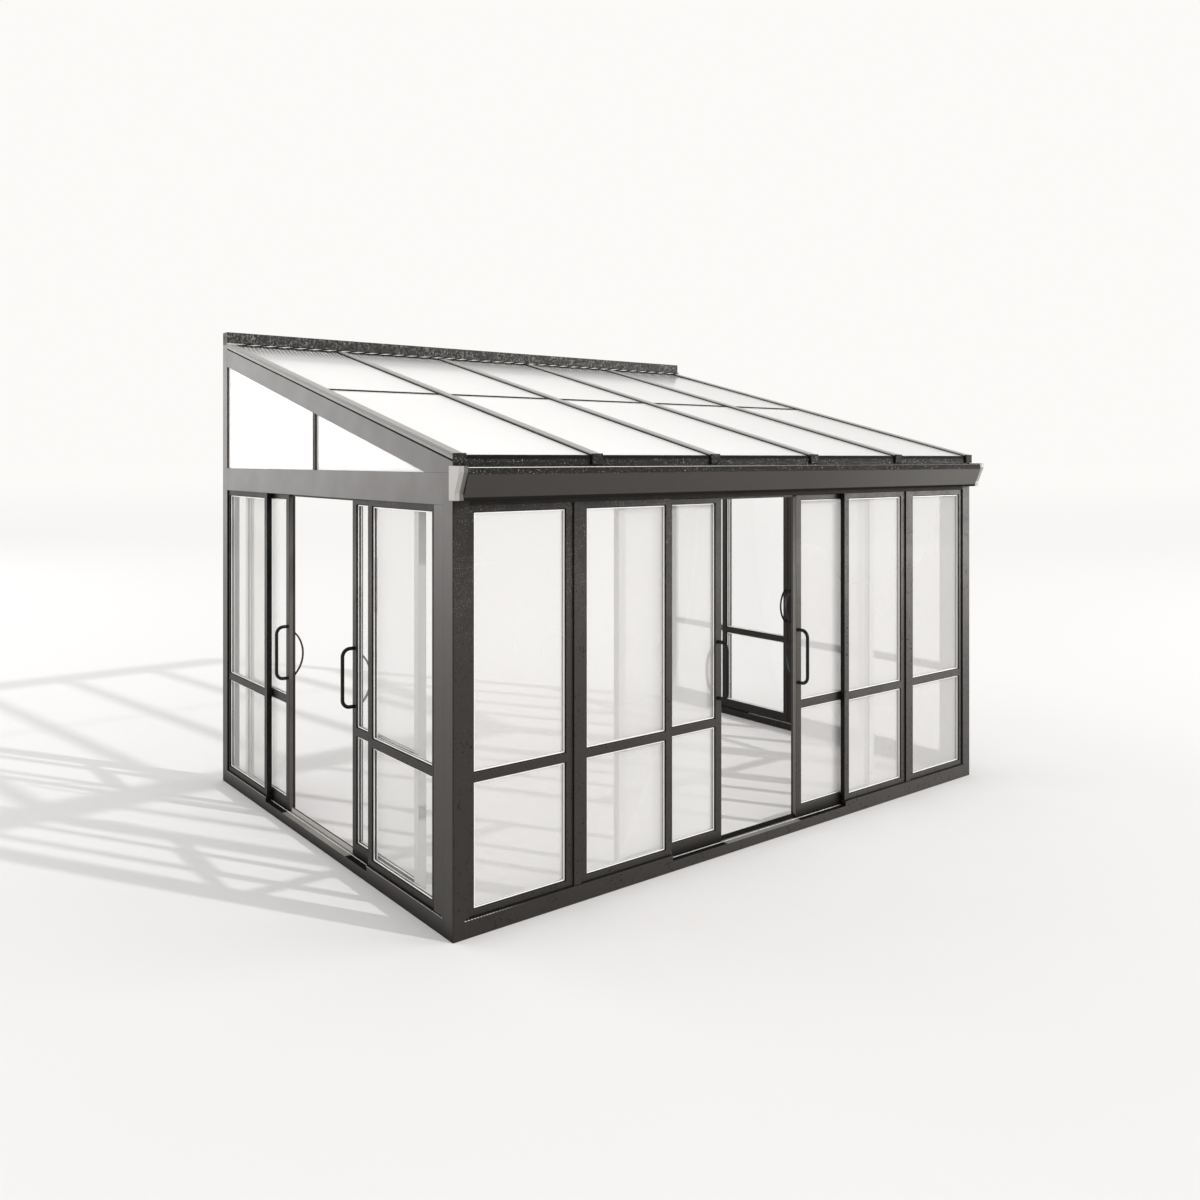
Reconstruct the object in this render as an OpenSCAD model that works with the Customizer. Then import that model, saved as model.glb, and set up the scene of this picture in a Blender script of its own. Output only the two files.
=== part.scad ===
// Lean-to glazed conservatory, open at the back where it meets a house wall.
// Millimetres, +Z up, front towards -Y, base on Z = 0, origin under the middle of the bounding box.

/* [Overall] */
// Width along the front, over the posts
wall_w = 4500; // [3600:50:5400]
// Depth from the front face to the house wall
wall_d = 3370; // [2800:10:4000]
// Height of the wall plate's top
total_h = 3335; // [3000:5:3700]
// Height of the roof's bearing line at the front face
eaves_z = 2385; // [2200:5:2600]

/* [Posts and beams] */
// Side of a square corner post
post_s = 92; // [70:1:140]
// Radius of a front post's outer edge
corner_r = 8; // [2:1:15]
// Depth of sills, beams and gable plates
frame_d = 95; // [80:1:140]
// Corner filler between a front post and the side glazing
filler_w = 97; // [40:1:160]
// Depth of the corner filler
filler_d = 44; // [30:1:60]
// Lower face of the head beams
head_z = 2166; // [2000:1:2300]
// Upper face of the side transoms
transom_z = 2329; // [2250:1:2380]
// Height of the wall plate on the rear posts
plate_h = 90; // [60:1:140]
// Depth of the ledger under the wall plate
ledger_h = 150; // [100:5:200]
// Height of the gable plate, measured upright
gable_h = 127; // [90:1:180]

/* [Sill] */
// Height of the tread in a doorway
tread_z = 60; // [40:1:80]
// Height of the plinth under the fixed panels
plinth_z = 93; // [80:1:120]
// Height of the running fins
fin_z = 85; // [70:1:95]
// Thickness of one running fin
fin_t = 3; // [2:0.5:6]
// Distance of the first fin from the outer face
fin_a = 65; // [55:1:75]
// Distance of the second fin from the outer face
fin_b = 76; // [70:1:85]
// Depth that the head fins reach down
head_fin = 16; // [10:1:25]

/* [Fixed panels] */
// Set-back of the fixed panels from the posts
panel_set = 10; // [0:1:20]
// Thickness of a fixed panel's frame
panel_t = 34; // [25:1:40]
// Stile beside a post
post_stile = 36; // [25:1:60]
// Stile beside a rear post
rear_stile = 27; // [20:1:60]
// Stile beside a mullion or a doorway
stile_w = 47; // [35:1:70]
// Width of a front mullion
mullion_w = 47; // [40:1:70]
// Distance from a corner to the middle of the front mullion
mullion_u = 773.5; // [600:0.5:900]
// Length of a front pair, from the corner to the doorway
front_fix = 1468; // [1200:1:1600]
// End of the side wall's front panel
side_fix_a = 963; // [800:1:1100]
// Start of the side wall's rear panel
side_fix_b = 2510; // [2300:1:2700]
// Bottom rail's upper edge
glass_lo = 130; // [110:1:160]
// Top rail's lower edge
glass_hi = 2131; // [2050:1:2150]
// Mid rail's lower edge
mid_lo = 770; // [600:1:1000]
// Height of a mid rail
mid_h = 48; // [30:1:70]

/* [Glass] */
// Thickness of a wall pane
pane_t = 14; // [6:1:28]
// Set-back of a pane in its frame
pane_set = 14; // [6:1:24]
// Set-back of the gable panes from the outer face
gable_set = 13; // [8:1:60]
// Width of a gable mullion
gable_mull = 39; // [30:1:70]
// Set-back of a gable mullion from the outer face
gable_face = 2; // [0:1:20]
// Distance of a gable mullion behind the middle of its opening
gable_shift = 14; // [-200:1:200]
// Gap of a gable pane under the sloping plate
pane_gap = 1; // [0.5:0.5:4]
// Depth of a gable mullion
gable_mull_d = 50; // [30:1:80]

/* [Sliding leaves] */
// Width of a leaf
leaf_w = 810; // [700:1:950]
// Outer face of a leaf from the wall's outer face
leaf_v = 50; // [48:1:60]
// Thickness of a leaf
leaf_t = 44; // [36:1:45]
// Width of a leaf's stile
leaf_stile = 50; // [40:1:70]
// Lower edge of a leaf
leaf_lo = 67; // [62:1:80]
// Upper edge of a leaf's bottom rail
leaf_rail = 138; // [120:1:160]
// Running gap over a leaf
leaf_gap = 5.5; // [5:0.5:10]
// Thickness of each wall of a leaf's running channel
channel_wall = 9; // [6:1:14]
// Clearance of the channels over the fins
fin_clear = 7; // [5:0.5:10]
// Length of a runner shoe
shoe_l = 70; // [40:5:120]
// Distance of a runner shoe from the leaf's end
shoe_in = 60; // [20:5:150]
// Running gap between a shoe and the fins
shoe_gap = 0.3; // [0.1:0.05:0.6]
// Width of a shoe past the fins on each side
shoe_side = 1; // [0.5:0.5:3]
// Gap between two closed leaves
meet_gap = 6; // [5:0.5:10]
// Opening shown by the front leaves, from the middle
front_open = 340; // [0:5:700]
// Opening shown by the left wall's front leaf
left_open_a = 486; // [0:1:720]
// Opening shown by the left wall's rear leaf
left_open_b = 484; // [0:1:660]

/* [Handles] */
// Height of the middle of a pull
pull_z = 1112; // [1000:1:1200]
// Length of a pull over its bar
pull_h = 365; // [250:5:450]
// Diameter of a pull's bar
pull_d = 22; // [16:1:30]
// Reach of a pull's bar from the leaf, to its axis
pull_reach = 75; // [50:1:80]
// Bend radius of a pull, to its axis
pull_r = 46; // [30:1:60]
// Chord of the inner bow
bow_h = 301; // [200:1:360]
// Height of the inner bow's middle
bow_z = 1097; // [1000:1:1200]
// Reach of the inner bow
bow_reach = 66; // [40:1:80]
// Thickness of the inner bow
bow_t = 8; // [5:1:12]
// Width of the inner bow
bow_w = 14; // [10:1:24]

/* [Roof] */
// Number of roof bays
bays = 5; // [3:1:7]
// Thickness of a glazing gasket
gasket_t = 8; // [4:1:12]
// Thickness of the roof glass
roof_t = 22; // [12:1:30]
// Height of a glazing cap over the glass
cap_h = 26; // [16:1:40]
// Width of a glazing cap
cap_w = 60; // [45:1:80]
// Gap between the roof glass and the wall plate over it
plate_gap = 10.5; // [2:0.5:30]
// Width of the web between two panes
web_w = 20; // [12:1:30]
// Depth of a rafter under the glass
rafter_h = 110; // [70:5:160]
// Leg of the edge cap beside the glass
edge_leg = 12; // [8:1:20]
// Set-back of the edge gasket, which shows as a dark line
gasket_in = 6; // [2:1:12]
// Length of the closing strip at the eaves
strip_l = 22; // [12:1:40]
// Width of a cap's end block
block_w = 74; // [50:1:90]
// Reach of an end block past the edge cap
block_over = 4; // [0:1:12]
// Thickness of a cap's end block
block_t = 16; // [8:1:30]
// Drop of a cap's end block under the bearing line
block_drop = 14; // [0:1:20]
// Height of a cap's end block over its cap
block_up = 5; // [0:1:12]
// Distance of the cross joint from the front face
cross_y = 1650; // [1200:10:2200]
// Width of the cross joint
cross_w = 24; // [12:1:40]
// Height of the cross joint over the glass
cross_h = 6; // [3:1:12]

/* [Gutter] */
// Reach of the gutter past the posts at each end
gutter_over = 24; // [0:1:60]
// Width of a gutter end cap
gutter_cap = 50; // [30:1:80]
// Top of the gutter
gutter_top = 2364; // [2300:1:2380]
// Bottom of the gutter
gutter_lo = 2192; // [2150:1:2250]
// Reach of the gutter's top lip
gutter_reach = 104; // [70:1:150]
// Reach of the gutter's lower edge
gutter_foot = 60; // [40:1:100]
// Height of the gutter's top lip
gutter_lip = 30; // [15:1:60]
// Height of the gutter's lower upright part
gutter_rise = 38; // [20:1:60]
// Wall of the gutter
gutter_wall = 4; // [2:0.5:8]

/* [Hidden] */
$fn = 48;
// Tiny overlap for cutting tools only
eps = 1;

half_w = wall_w / 2;
front_y = -(wall_d - gutter_reach) / 2;
rear_u = wall_d - post_s;
side_mid = (side_fix_a + side_fix_b) / 2;
post_top = total_h - plate_h;
roof_rise = (post_top - plate_gap - gasket_t - roof_t - eaves_z) / rear_u;
gable_tip = (transom_z - eaves_z + gable_h) / roof_rise;
gable_m0 = (frame_d + rear_u - gable_mull) / 2 + gable_shift;
gable_m1 = gable_m0 + gable_mull;
leaf_top = head_z - leaf_gap;
frame_grey = [0.16, 0.155, 0.15];
cap_grey = [0.62, 0.61, 0.6];
black = [0.03, 0.03, 0.03];
glass_tint = [0.9, 0.94, 0.95, 0.35];

// A piece given in its wall's own frame: u along the wall, v inwards, z up
module front_wall() {
    translate([-half_w, front_y, 0]) children();
}

module left_wall() {
    translate([-half_w, front_y, 0]) mirror([1, -1, 0]) children();
}

module right_wall() {
    translate([half_w, front_y, 0]) rotate([0, 0, 90]) children();
}

// A box between two corners
module span(u0, u1, v0, v1, z0, z1) {
    translate([u0, v0, z0]) cube([u1 - u0, v1 - v0, z1 - z0]);
}

function roof_line(y) = eaves_z + roof_rise * y;

// A bar that follows the roof from y0 to y1, with upright ends
module slope_bar(x0, x1, y0, y1, lo, hi) {
    translate([x0, 0, 0]) rotate([90, 0, 90]) linear_extrude(height = x1 - x0)
        polygon([[y0, roof_line(y0) + lo], [y1, roof_line(y1) + lo],
            [y1, roof_line(y1) + hi], [y0, roof_line(y0) + hi]]);
}

module sill(u0, u1, door0, door1) {
    span(u0, u1, 0, frame_d, 0, tread_z);
    span(u0, u1, fin_a, fin_a + fin_t, tread_z - eps, fin_z);
    span(u0, u1, fin_b, fin_b + fin_t, tread_z - eps, fin_z);
    span(u0, door0, 0, panel_set + panel_t, tread_z - eps, plinth_z);
    span(door1, u1, 0, panel_set + panel_t, tread_z - eps, plinth_z);
}

module sill_front() {
    color(frame_grey) front_wall() sill(post_s, wall_w - post_s, front_fix, wall_w - front_fix);
}

module side_sill() {
    sill(frame_d, rear_u, side_fix_a, side_fix_b);
}

module sill_left() {
    color(frame_grey) left_wall() side_sill();
}

module sill_right() {
    color(frame_grey) right_wall() side_sill();
}

module corner_post() {
    linear_extrude(height = transom_z) union() {
        translate([corner_r, corner_r]) circle(r = corner_r);
        translate([0, corner_r]) square([post_s, frame_d - corner_r]);
        translate([corner_r, 0]) square([post_s - corner_r, frame_d]);
    }
}

module posts_front() {
    color(frame_grey) front_wall() {
        corner_post();
        translate([wall_w, 0, 0]) mirror([1, 0, 0]) corner_post();
    }
}

module posts_rear() {
    color(frame_grey) front_wall() for (x = [0, wall_w - post_s])
        span(x, x + post_s, rear_u, wall_d, 0, post_top);
}

module corner_filler() {
    span(frame_d, frame_d + filler_w, 0, filler_d, plinth_z, head_z);
}

module head_fins(u0, u1) {
    span(u0, u1, fin_a, fin_a + fin_t, head_z - head_fin, head_z + eps);
    span(u0, u1, fin_b, fin_b + fin_t, head_z - head_fin, head_z + eps);
}

module head_front() {
    color(frame_grey) front_wall() {
        span(post_s, wall_w - post_s, 0, frame_d, head_z, transom_z);
        span(frame_d, wall_w - frame_d, 0, frame_d, transom_z - eps, eaves_z);
        head_fins(post_s, wall_w - post_s);
    }
}

module side_transom() {
    span(frame_d, rear_u, 0, post_s, head_z, transom_z);
    head_fins(frame_d, rear_u);
}

module transom_left() {
    color(frame_grey) left_wall() side_transom();
}

module transom_right() {
    color(frame_grey) right_wall() side_transom();
}

module mullion() {
    span(mullion_u - mullion_w / 2, mullion_u + mullion_w / 2, 0, panel_set + panel_t,
        plinth_z, head_z);
}

// Front mullions and the corner fillers of the side walls
module uprights() {
    color(frame_grey) {
        front_wall() {
            mullion();
            translate([wall_w, 0, 0]) mirror([1, 0, 0]) mullion();
        }
        left_wall() corner_filler();
        right_wall() corner_filler();
    }
}

// A fixed panel's frame: stiles sa and sb, with a mid rail
module panel(u0, u1, sa, sb) {
    difference() {
        span(u0, u1, panel_set, panel_set + panel_t, plinth_z, head_z);
        span(u0 + sa, u1 - sb, panel_set - eps, panel_set + panel_t + eps, glass_lo, mid_lo);
        span(u0 + sa, u1 - sb, panel_set - eps, panel_set + panel_t + eps, mid_lo + mid_h,
            glass_hi);
    }
}

module panes(u0, u1, sa, sb) {
    span(u0 + sa, u1 - sb, panel_set + pane_set, panel_set + pane_set + pane_t, glass_lo, mid_lo);
    span(u0 + sa, u1 - sb, panel_set + pane_set, panel_set + pane_set + pane_t, mid_lo + mid_h,
        glass_hi);
}

module front_pair(glass) {
    m0 = mullion_u - mullion_w / 2;
    m1 = mullion_u + mullion_w / 2;
    if (glass) {
        panes(post_s, m0, post_stile, stile_w);
        panes(m1, front_fix, stile_w, stile_w);
    } else {
        panel(post_s, m0, post_stile, stile_w);
        panel(m1, front_fix, stile_w, stile_w);
    }
}

module side_pair(glass) {
    if (glass) {
        panes(frame_d + filler_w, side_fix_a, post_stile, stile_w);
        panes(side_fix_b, rear_u, stile_w, rear_stile);
    } else {
        panel(frame_d + filler_w, side_fix_a, post_stile, stile_w);
        panel(side_fix_b, rear_u, stile_w, rear_stile);
    }
}

module fixed_front() {
    color(frame_grey) front_wall() {
        front_pair(false);
        translate([wall_w, 0, 0]) mirror([1, 0, 0]) front_pair(false);
    }
}

module fixed_left() {
    color(frame_grey) left_wall() side_pair(false);
}

module fixed_right() {
    color(frame_grey) right_wall() side_pair(false);
}

module fixed_front_glass() {
    color(glass_tint) front_wall() {
        front_pair(true);
        translate([wall_w, 0, 0]) mirror([1, 0, 0]) front_pair(true);
    }
}

module fixed_left_glass() {
    color(glass_tint) left_wall() side_pair(true);
}

module fixed_right_glass() {
    color(glass_tint) right_wall() side_pair(true);
}

// A sliding leaf whose leading edge is at u = 0 and whose body reaches towards +u
module leaf() {
    difference() {
        span(0, leaf_w, leaf_v, leaf_v + leaf_t, leaf_lo, leaf_top);
        span(leaf_stile, leaf_w - leaf_stile, leaf_v - eps, leaf_v + leaf_t + eps, leaf_rail,
            mid_lo);
        span(leaf_stile, leaf_w - leaf_stile, leaf_v - eps, leaf_v + leaf_t + eps,
            mid_lo + mid_h, glass_hi);
        span(-eps, leaf_w + eps, leaf_v + channel_wall, leaf_v + leaf_t - channel_wall,
            leaf_lo - eps, fin_z + fin_clear);
        span(-eps, leaf_w + eps, leaf_v + channel_wall, leaf_v + leaf_t - channel_wall,
            head_z - head_fin - fin_clear, leaf_top + eps);
    }
    // Runner shoes over the sill's fins
    for (u = [shoe_in, leaf_w - shoe_in - shoe_l])
        span(u, u + shoe_l, fin_a - shoe_side, fin_b + fin_t + shoe_side, fin_z + shoe_gap,
            fin_z + fin_clear + eps);
}

module leaf_panes() {
    span(leaf_stile, leaf_w - leaf_stile, leaf_v + pane_set, leaf_v + pane_set + pane_t,
        leaf_rail, mid_lo);
    span(leaf_stile, leaf_w - leaf_stile, leaf_v + pane_set, leaf_v + pane_set + pane_t,
        mid_lo + mid_h, glass_hi);
}

// Outer pull: a bar with two bends, standing on the leading stile's outer face
module pull_bar() {
    reach = pull_reach - pull_r;
    top = pull_h / 2 - pull_d / 2;
    translate([leaf_stile / 2, leaf_v, pull_z]) {
        translate([0, -pull_reach, pull_r - top]) cylinder(d = pull_d, h = 2 * (top - pull_r));
        for (s = [0, 1]) mirror([0, 0, s]) {
            translate([0, -reach, top]) rotate([-90, 0, 0]) cylinder(d = pull_d, h = reach);
            translate([0, -reach, top - pull_r]) rotate([0, -90, 0]) rotate_extrude(angle = -90)
                translate([pull_r, 0]) circle(d = pull_d);
        }
    }
}

// Inner bow: a curved strip whose two ends meet the leading stile's inner face
module bow() {
    r = (bow_h * bow_h / 4 + bow_reach * bow_reach) / (2 * bow_reach);
    translate([leaf_stile / 2 - bow_w / 2, leaf_v + leaf_t, bow_z]) intersection() {
        translate([0, bow_reach - r, 0]) rotate([0, 90, 0]) difference() {
            cylinder(r = r, h = bow_w, $fn = 96);
            translate([0, 0, -eps]) cylinder(r = r - bow_t, h = bow_w + 2 * eps, $fn = 96);
        }
        translate([-eps, 0, -bow_h]) cube([bow_w + 2 * eps, 2 * bow_reach, 2 * bow_h]);
    }
}

module handle() {
    pull_bar();
    bow();
}

// Places a leaf piece: gap is its leading edge's distance from the doorway's middle
module towards_end(mid, gap) {
    translate([mid + gap, 0, 0]) children();
}

module towards_start(mid, gap) {
    translate([mid - gap, 0, 0]) mirror([1, 0, 0]) children();
}

module at_front_left() {
    front_wall() towards_start(half_w, front_open) children();
}

module at_front_right() {
    front_wall() towards_end(half_w, front_open) children();
}

module at_left_front() {
    left_wall() towards_start(side_mid, left_open_a) children();
}

module at_left_rear() {
    left_wall() towards_end(side_mid, left_open_b) children();
}

module at_right_front() {
    right_wall() towards_start(side_mid, meet_gap / 2) children();
}

module at_right_rear() {
    right_wall() towards_end(side_mid, meet_gap / 2) children();
}

module leaf_front_left() {
    color(frame_grey) at_front_left() leaf();
}

module leaf_front_left_glass() {
    color(glass_tint) at_front_left() leaf_panes();
}

module leaf_front_left_handle() {
    color(black) at_front_left() handle();
}

module leaf_front_right() {
    color(frame_grey) at_front_right() leaf();
}

module leaf_front_right_glass() {
    color(glass_tint) at_front_right() leaf_panes();
}

module leaf_front_right_handle() {
    color(black) at_front_right() handle();
}

module leaf_left_front() {
    color(frame_grey) at_left_front() leaf();
}

module leaf_left_front_glass() {
    color(glass_tint) at_left_front() leaf_panes();
}

module leaf_left_front_handle() {
    color(black) at_left_front() handle();
}

module leaf_left_rear() {
    color(frame_grey) at_left_rear() leaf();
}

module leaf_left_rear_glass() {
    color(glass_tint) at_left_rear() leaf_panes();
}

module leaf_left_rear_handle() {
    color(black) at_left_rear() handle();
}

module leaf_right_front() {
    color(frame_grey) at_right_front() leaf();
}

module leaf_right_front_glass() {
    color(glass_tint) at_right_front() leaf_panes();
}

module leaf_right_front_handle() {
    color(black) at_right_front() handle();
}

module leaf_right_rear() {
    color(frame_grey) at_right_rear() leaf();
}

module leaf_right_rear_glass() {
    color(glass_tint) at_right_rear() leaf_panes();
}

module leaf_right_rear_handle() {
    color(black) at_right_rear() handle();
}

// Gable: a sloping plate on the transom, with a mullion under it
module gable_plate() {
    rotate([90, 0, 90]) linear_extrude(height = frame_d)
        polygon([[0, transom_z], [gable_tip, transom_z], [rear_u, roof_line(rear_u) - gable_h],
            [rear_u, roof_line(rear_u)], [0, eaves_z]]);
}

module gable_upright() {
    translate([gable_face, 0, 0]) rotate([90, 0, 90]) linear_extrude(height = gable_mull_d)
        polygon([[gable_m0, transom_z], [gable_m1, transom_z],
            [gable_m1, roof_line(gable_m1) - gable_h + eps],
            [gable_m0, roof_line(gable_m0) - gable_h + eps]]);
}

module gable_panes() {
    drop = gable_h + pane_gap;
    tip = (transom_z - eaves_z + drop) / roof_rise;
    translate([gable_set, 0, 0]) rotate([90, 0, 90]) linear_extrude(height = pane_t) {
        polygon([[tip, transom_z], [gable_m0, transom_z],
            [gable_m0, roof_line(gable_m0) - drop]]);
        polygon([[gable_m1, transom_z], [rear_u, transom_z],
            [rear_u, roof_line(rear_u) - drop], [gable_m1, roof_line(gable_m1) - drop]]);
    }
}

module gable_left() {
    color(frame_grey) front_wall() {
        gable_plate();
        gable_upright();
    }
}

module gable_right() {
    color(frame_grey) front_wall() translate([wall_w, 0, 0]) mirror([1, 0, 0]) {
        gable_plate();
        gable_upright();
    }
}

module gable_glass() {
    color(glass_tint) front_wall() {
        gable_panes();
        translate([wall_w, 0, 0]) mirror([1, 0, 0]) gable_panes();
    }
}

module wall_plate() {
    color(frame_grey) front_wall() {
        span(0, wall_w, rear_u, wall_d, post_top, total_h);
        span(post_s, wall_w - post_s, rear_u, wall_d, post_top - ledger_h, post_top + eps);
    }
}

module rafters() {
    color(frame_grey) front_wall() for (i = [1:bays - 1]) {
        x = i * wall_w / bays;
        slope_bar(x - cap_w / 2, x + cap_w / 2, frame_d, rear_u, -rafter_h, 0);
        slope_bar(x - web_w / 2, x + web_w / 2, strip_l, rear_u, -eps, gasket_t + roof_t);
    }
}

module edge_cap() {
    slope_bar(0, edge_leg, 0, rear_u, gasket_t, gasket_t + roof_t);
    slope_bar(0, cap_w, 0, rear_u, gasket_t + roof_t, gasket_t + roof_t + cap_h);
}

module roof_caps() {
    color(cap_grey) front_wall() {
        for (i = [1:bays - 1]) {
            x = i * wall_w / bays;
            slope_bar(x - cap_w / 2, x + cap_w / 2, 0, rear_u, gasket_t + roof_t,
                gasket_t + roof_t + cap_h);
        }
        edge_cap();
        translate([wall_w, 0, 0]) mirror([1, 0, 0]) edge_cap();
    }
}

// The block that closes the front end of a cap
module end_block(x) {
    top = eaves_z + gasket_t + roof_t + cap_h + block_up;
    span(x - block_w / 2, x + block_w / 2, -block_t, 0, eaves_z - block_drop, top);
}

// Closing strip at the eaves, the caps' end blocks, and the cross joints between panes
module roof_trim() {
    g = gasket_t;
    edge = block_w / 2 - block_over;
    color(frame_grey) front_wall() {
        slope_bar(edge_leg, wall_w - edge_leg, 0, strip_l, 0, g + roof_t);
        for (i = [0:bays])
            end_block(i == 0 ? edge : i == bays ? wall_w - edge : i * wall_w / bays);
        for (i = [0:bays - 1]) {
            x0 = i == 0 ? cap_w : i * wall_w / bays + cap_w / 2;
            x1 = i == bays - 1 ? wall_w - cap_w : (i + 1) * wall_w / bays - cap_w / 2;
            slope_bar(x0, x1, cross_y - cross_w / 2, cross_y + cross_w / 2, g + roof_t,
                g + roof_t + cross_h);
        }
    }
}

module gaskets() {
    color(black) front_wall() {
        slope_bar(gasket_in, cap_w, strip_l, rear_u, 0, gasket_t);
        slope_bar(wall_w - cap_w, wall_w - gasket_in, strip_l, rear_u, 0, gasket_t);
        for (i = [1:bays - 1]) {
            x = i * wall_w / bays;
            slope_bar(x - cap_w / 2, x - web_w / 2, frame_d, rear_u, 0, gasket_t);
            slope_bar(x + web_w / 2, x + cap_w / 2, frame_d, rear_u, 0, gasket_t);
        }
    }
}

module roof_glass() {
    color(glass_tint) front_wall() for (i = [0:bays - 1]) {
        x0 = i == 0 ? edge_leg : i * wall_w / bays + web_w / 2;
        x1 = i == bays - 1 ? wall_w - edge_leg : (i + 1) * wall_w / bays - web_w / 2;
        slope_bar(x0, x1, strip_l, cross_y - cross_w / 2, gasket_t, gasket_t + roof_t);
        slope_bar(x0, x1, cross_y + cross_w / 2, rear_u, gasket_t, gasket_t + roof_t);
    }
}

function gutter_outline(w) = [[-w, gutter_lo + w], [-gutter_foot + w, gutter_lo + w],
    [-gutter_foot + w, gutter_lo + gutter_rise + w / 2],
    [-gutter_reach + w, gutter_top - gutter_lip + w / 2], [-gutter_reach + w, gutter_top + w],
    [-w, gutter_top + w]];

module gutter() {
    x0 = gutter_cap - gutter_over;
    color(frame_grey) front_wall() translate([x0, 0, 0]) rotate([90, 0, 90])
        linear_extrude(height = wall_w - 2 * x0) difference() {
            polygon(gutter_outline(0));
            polygon(gutter_outline(gutter_wall));
        }
}

module gutter_caps() {
    color(cap_grey) front_wall() for (x = [-gutter_over, wall_w + gutter_over - gutter_cap])
        translate([x, 0, 0]) rotate([90, 0, 90]) linear_extrude(height = gutter_cap)
            polygon(gutter_outline(0));
}

sill_front();
sill_left();
sill_right();
posts_front();
posts_rear();
head_front();
transom_left();
transom_right();
uprights();
fixed_front();
fixed_left();
fixed_right();
fixed_front_glass();
fixed_left_glass();
fixed_right_glass();
leaf_front_left();
leaf_front_left_glass();
leaf_front_left_handle();
leaf_front_right();
leaf_front_right_glass();
leaf_front_right_handle();
leaf_left_front();
leaf_left_front_glass();
leaf_left_front_handle();
leaf_left_rear();
leaf_left_rear_glass();
leaf_left_rear_handle();
leaf_right_front();
leaf_right_front_glass();
leaf_right_front_handle();
leaf_right_rear();
leaf_right_rear_glass();
leaf_right_rear_handle();
gable_left();
gable_right();
gable_glass();
wall_plate();
rafters();
roof_caps();
roof_trim();
gaskets();
roof_glass();
gutter();
gutter_caps();
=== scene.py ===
import math

import bmesh
import bpy
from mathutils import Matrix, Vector


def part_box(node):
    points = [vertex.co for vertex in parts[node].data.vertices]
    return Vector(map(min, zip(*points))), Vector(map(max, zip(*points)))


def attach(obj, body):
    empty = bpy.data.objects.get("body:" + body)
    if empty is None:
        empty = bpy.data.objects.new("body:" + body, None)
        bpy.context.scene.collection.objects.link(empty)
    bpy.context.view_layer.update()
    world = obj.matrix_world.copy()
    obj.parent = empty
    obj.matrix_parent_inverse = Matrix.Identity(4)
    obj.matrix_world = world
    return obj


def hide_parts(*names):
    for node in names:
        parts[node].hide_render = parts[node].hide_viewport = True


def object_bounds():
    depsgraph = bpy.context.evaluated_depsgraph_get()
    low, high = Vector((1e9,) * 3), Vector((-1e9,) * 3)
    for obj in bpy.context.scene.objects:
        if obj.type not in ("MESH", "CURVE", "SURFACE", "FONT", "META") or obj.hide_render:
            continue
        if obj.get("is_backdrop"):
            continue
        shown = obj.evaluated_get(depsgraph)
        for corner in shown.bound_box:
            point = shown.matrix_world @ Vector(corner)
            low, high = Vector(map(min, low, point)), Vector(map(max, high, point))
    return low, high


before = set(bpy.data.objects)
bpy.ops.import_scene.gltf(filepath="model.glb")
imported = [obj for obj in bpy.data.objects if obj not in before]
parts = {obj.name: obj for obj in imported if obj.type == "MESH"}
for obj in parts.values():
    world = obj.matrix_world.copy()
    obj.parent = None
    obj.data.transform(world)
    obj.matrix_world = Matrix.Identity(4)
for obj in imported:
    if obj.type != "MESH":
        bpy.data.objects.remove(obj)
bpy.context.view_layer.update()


# Stand of the photograph: a level camera above eye height off the left front corner, on a
# wide lens. Posts stay upright in the picture, and the frame is shifted down to hold the
# sills in it.
camera = bpy.data.objects.new("camera", bpy.data.cameras.new("camera"))
bpy.context.scene.collection.objects.link(camera)
camera.location = (-4.902, -6.175, 2.400)
camera.rotation_euler = (math.radians(90), 0, math.radians(-38.233))
camera.data.sensor_width = 36
camera.data.lens = 31.588
camera.data.shift_y = -0.1179
camera.data.clip_end = 400
bpy.context.scene.camera = camera
bpy.context.scene.view_settings.view_transform = "Standard"


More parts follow.
